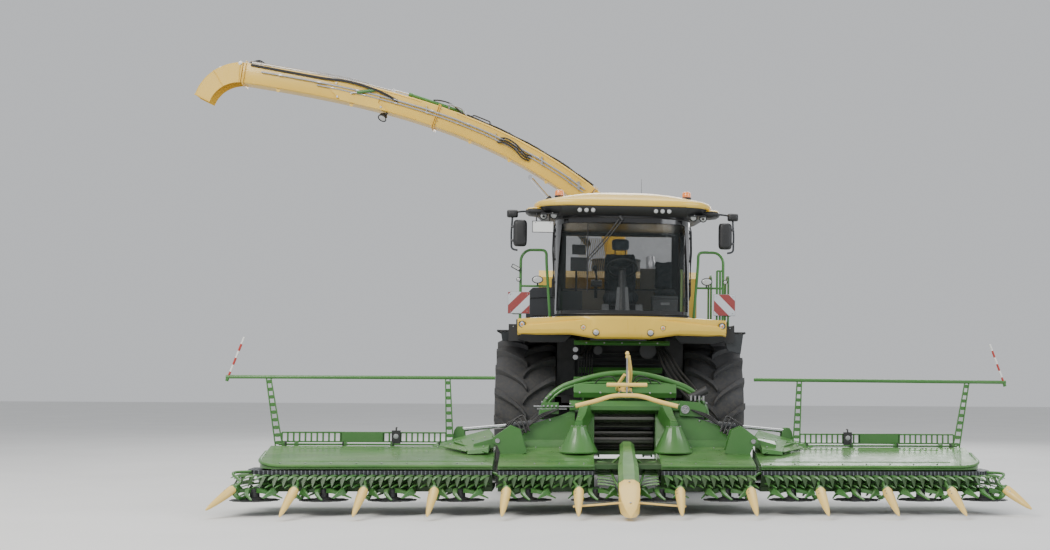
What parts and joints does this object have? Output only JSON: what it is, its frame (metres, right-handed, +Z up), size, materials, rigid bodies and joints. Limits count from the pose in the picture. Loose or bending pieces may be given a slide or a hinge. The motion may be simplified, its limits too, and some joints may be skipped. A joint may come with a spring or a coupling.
{
  "type": "forage harvester",
  "caption": "Self-propelled forage harvester with a wide folding row-independent maize header, a glazed cab and a long curved discharge spout swung out to one side.",
  "frame": {"origin": "on the ground under the middle of the whole machine's box, header and spout included", "axes": "the machine drives towards -Y, +X is its left side and the longest extent, +Z is up and the shortest extent"},
  "size_m": [10.8186, 9.514, 6.1225],
  "materials": {
    "yellow": "gloss",
    "green": "gloss",
    "anthracite": "satin",
    "tyre": "matte",
    "glass": "gloss",
    "seat": "matte",
    "chrome": "polished",
    "steel": "satin"
  },
  "bodies": {
    "door_left": {"cab_door_left": "anthracite", "door_glass_left": "glass"},
    "door_right": {"cab_door_right": "anthracite", "door_glass_right": "glass"},
    "machine": {"cab_frame": "anthracite", "cab_roof": "yellow", "chassis_frame": "anthracite", "crop_channel": "anthracite", "engine_block": "steel", "engine_hood": "yellow", "front_axle": "anthracite", "front_panel": "yellow", "mirror_left": "anthracite", "mirror_right": "anthracite", "operator_seat": "seat", "passenger_seat": "seat", "platform_left": "anthracite", "platform_right": "anthracite", "rear_axle": "anthracite", "rear_window": "glass", "steering_column": "anthracite", "windscreen": "glass"},
    "wing_left": {"crop_guard_left": "green", "header_wing_left": "green"},
    "wing_right": {"crop_guard_right": "green", "header_wing_right": "green"},
    "feeder_lift": {"crop_pusher": "yellow", "feeder_housing": "green", "header_centre": "green"},
    "roller_lower": {"feed_roller_lower": "steel"},
    "roller_upper": {"feed_roller_upper": "steel"},
    "feeder_lift_left_barrel": {"feeder_lift_left_barrel": "anthracite"},
    "feeder_lift_right_barrel": {"feeder_lift_right_barrel": "anthracite"},
    "fold_left_barrel": {"fold_left_barrel": "green"},
    "fold_right_barrel": {"fold_right_barrel": "green"},
    "front_wheel_left_spin": {"front_wheel_left_rim": "yellow", "front_wheel_left_tyre": "tyre"},
    "front_wheel_right_spin": {"front_wheel_right_rim": "yellow", "front_wheel_right_tyre": "tyre"},
    "steer_left": {"knuckle_left": "anthracite"},
    "steer_right": {"knuckle_right": "anthracite"},
    "screen_hinge": {"rear_screen": "anthracite"},
    "rear_wheel_left_spin": {"rear_wheel_left_rim": "yellow", "rear_wheel_left_tyre": "tyre"},
    "rear_wheel_right_spin": {"rear_wheel_right_rim": "yellow", "rear_wheel_right_tyre": "tyre"},
    "service_left": {"service_door_left": "yellow"},
    "service_right": {"service_door_right": "yellow"},
    "spout_lift": {"spout_boom": "yellow"},
    "spout_slew": {"spout_elbow": "yellow"},
    "spout_flap": {"spout_flap": "yellow"},
    "spout_lift_barrel": {"spout_lift_barrel": "green"},
    "feeder_lift_left_rod": {"feeder_lift_left_rod": "chrome"},
    "feeder_lift_right_rod": {"feeder_lift_right_rod": "chrome"},
    "fold_left_rod": {"fold_left_rod": "chrome"},
    "fold_right_rod": {"fold_right_rod": "chrome"},
    "spout_lift_rod": {"spout_lift_rod": "chrome"}
  },
  "joints": [
    {"name": "front_wheel_left_spin", "type": "hinge", "parent": "machine", "child": "front_wheel_left_spin", "pos_m": [1.95, -0.18, 1.03], "axis": [1, 0, 0], "continuous": true},
    {"name": "front_wheel_right_spin", "type": "hinge", "parent": "machine", "child": "front_wheel_right_spin", "pos_m": [-0.55, -0.18, 1.03], "axis": [1, 0, 0], "continuous": true},
    {"name": "steer_left", "type": "hinge", "parent": "machine", "child": "steer_left", "pos_m": [1.48, 3.07, 0.8], "axis": [0, 0, 1], "range_deg": [-28, 28]},
    {"name": "rear_wheel_left_spin", "type": "hinge", "parent": "steer_left", "child": "rear_wheel_left_spin", "pos_m": [1.92, 3.07, 0.8], "axis": [1, 0, 0], "continuous": true},
    {"name": "steer_right", "type": "hinge", "parent": "machine", "child": "steer_right", "pos_m": [-0.08, 3.07, 0.8], "axis": [0, 0, 1], "range_deg": [-28, 28]},
    {"name": "rear_wheel_right_spin", "type": "hinge", "parent": "steer_right", "child": "rear_wheel_right_spin", "pos_m": [-0.52, 3.07, 0.8], "axis": [1, 0, 0], "continuous": true},
    {"name": "door_left", "type": "hinge", "parent": "machine", "child": "door_left", "pos_m": [1.595, -0.04, 2.96], "axis": [0, 0, 1], "range_deg": [0, 85]},
    {"name": "service_left", "type": "hinge", "parent": "machine", "child": "service_left", "pos_m": [1.835, 2.845, 2.76], "axis": [0, -1, 0], "range_deg": [0, 75]},
    {"name": "door_right", "type": "hinge", "parent": "machine", "child": "door_right", "pos_m": [-0.195, -0.04, 2.96], "axis": [0, 0, -1], "range_deg": [0, 85]},
    {"name": "service_right", "type": "hinge", "parent": "machine", "child": "service_right", "pos_m": [-0.435, 2.845, 2.76], "axis": [0, 1, 0], "range_deg": [0, 75]},
    {"name": "screen_hinge", "type": "hinge", "parent": "machine", "child": "screen_hinge", "pos_m": [1.67, 4.755, 2.22], "axis": [0, 0, -1], "range_deg": [0, 95]},
    {"name": "spout_slew", "type": "hinge", "parent": "machine", "child": "spout_slew", "pos_m": [0.7, 1.52, 3.26], "axis": [0, 0, 1], "range_deg": [-195, 15]},
    {"name": "spout_lift", "type": "hinge", "parent": "spout_slew", "child": "spout_lift", "pos_m": [0.12871, 1.52, 4.01818], "axis": [0, 1, 0], "range_deg": [-18, 0]},
    {"name": "spout_flap", "type": "hinge", "parent": "spout_lift", "child": "spout_flap", "pos_m": [-4.73078, 1.52, 6.1025], "axis": [0, 1, 0], "range_deg": [0, 40]},
    {"name": "feeder_lift", "type": "hinge", "parent": "machine", "child": "feeder_lift", "pos_m": [0.7, -0.63, 1.1], "axis": [-1, 0, 0], "range_deg": [0, 14]},
    {"name": "roller_upper", "type": "hinge", "parent": "feeder_lift", "child": "roller_upper", "pos_m": [0.7, -2.18, 1.06], "axis": [1, 0, 0], "continuous": true},
    {"name": "roller_lower", "type": "hinge", "parent": "feeder_lift", "child": "roller_lower", "pos_m": [0.7, -2.14, 0.77], "axis": [1, 0, 0], "continuous": true},
    {"name": "wing_left", "type": "hinge", "parent": "feeder_lift", "child": "wing_left", "pos_m": [2.2, -3.12, 0.8], "axis": [0, -1, 0], "range_deg": [0, 90]},
    {"name": "wing_right", "type": "hinge", "parent": "feeder_lift", "child": "wing_right", "pos_m": [-0.8, -3.12, 0.8], "axis": [0, 1, 0], "range_deg": [0, 90]},
    {"name": "spout_lift_barrel", "type": "hinge", "parent": "spout_slew", "child": "spout_lift_barrel", "pos_m": [0.28, 1.52, 3.52], "axis": [0, 1, 0], "range_deg": [-11.67, 0]},
    {"name": "spout_lift_rod", "type": "slide", "parent": "spout_lift_barrel", "child": "spout_lift_rod", "axis": [-0.663, 0, 0.7486], "range_m": [-0.08318, 0]},
    {"name": "feeder_lift_left_barrel", "type": "hinge", "parent": "machine", "child": "feeder_lift_left_barrel", "pos_m": [1.04, -0.4, 0.62], "axis": [1, 0, 0], "range_deg": [-10.78, 0]},
    {"name": "feeder_lift_left_rod", "type": "slide", "parent": "feeder_lift_left_barrel", "child": "feeder_lift_left_rod", "axis": [0, -0.9982, -0.0605], "range_m": [0, 0.11562]},
    {"name": "feeder_lift_right_barrel", "type": "hinge", "parent": "machine", "child": "feeder_lift_right_barrel", "pos_m": [0.36, -0.4, 0.62], "axis": [1, 0, 0], "range_deg": [-10.78, 0]},
    {"name": "feeder_lift_right_rod", "type": "slide", "parent": "feeder_lift_right_barrel", "child": "feeder_lift_right_rod", "axis": [0, -0.9982, -0.0605], "range_m": [0, 0.11562]},
    {"name": "fold_left_barrel", "type": "hinge", "parent": "feeder_lift", "child": "fold_left_barrel", "pos_m": [1.37, -2.6, 1.02], "axis": [0, -1, 0], "range_deg": [0, 24.89]},
    {"name": "fold_left_rod", "type": "slide", "parent": "fold_left_barrel", "child": "fold_left_rod", "axis": [0.9958, 0, -0.0912], "range_m": [-0.54107, 0]},
    {"name": "fold_right_barrel", "type": "hinge", "parent": "feeder_lift", "child": "fold_right_barrel", "pos_m": [0.03, -2.6, 1.02], "axis": [0, 1, 0], "range_deg": [0, 24.89]},
    {"name": "fold_right_rod", "type": "slide", "parent": "fold_right_barrel", "child": "fold_right_rod", "axis": [-0.9958, 0, -0.0912], "range_m": [-0.54107, 0]}
  ],
  "couplings": [
    {"joint": "steer_right", "follows": "steer_left", "ratio": 1},
    {"joint": "spout_lift_barrel", "follows": "spout_lift", "ratio": 0.64542},
    {"joint": "spout_lift_rod", "follows": "spout_lift", "m_per_rad": 0.26316},
    {"joint": "feeder_lift_left_barrel", "follows": "feeder_lift", "ratio": -0.76636},
    {"joint": "feeder_lift_left_rod", "follows": "feeder_lift", "m_per_rad": 0.47114},
    {"joint": "feeder_lift_right_barrel", "follows": "feeder_lift", "ratio": -0.76636},
    {"joint": "feeder_lift_right_rod", "follows": "feeder_lift", "m_per_rad": 0.47114},
    {"joint": "fold_left_barrel", "follows": "wing_left", "ratio": 0.27598},
    {"joint": "fold_left_rod", "follows": "wing_left", "m_per_rad": -0.34414},
    {"joint": "fold_right_barrel", "follows": "wing_right", "ratio": 0.27598},
    {"joint": "fold_right_rod", "follows": "wing_right", "m_per_rad": -0.34414}
  ]
}
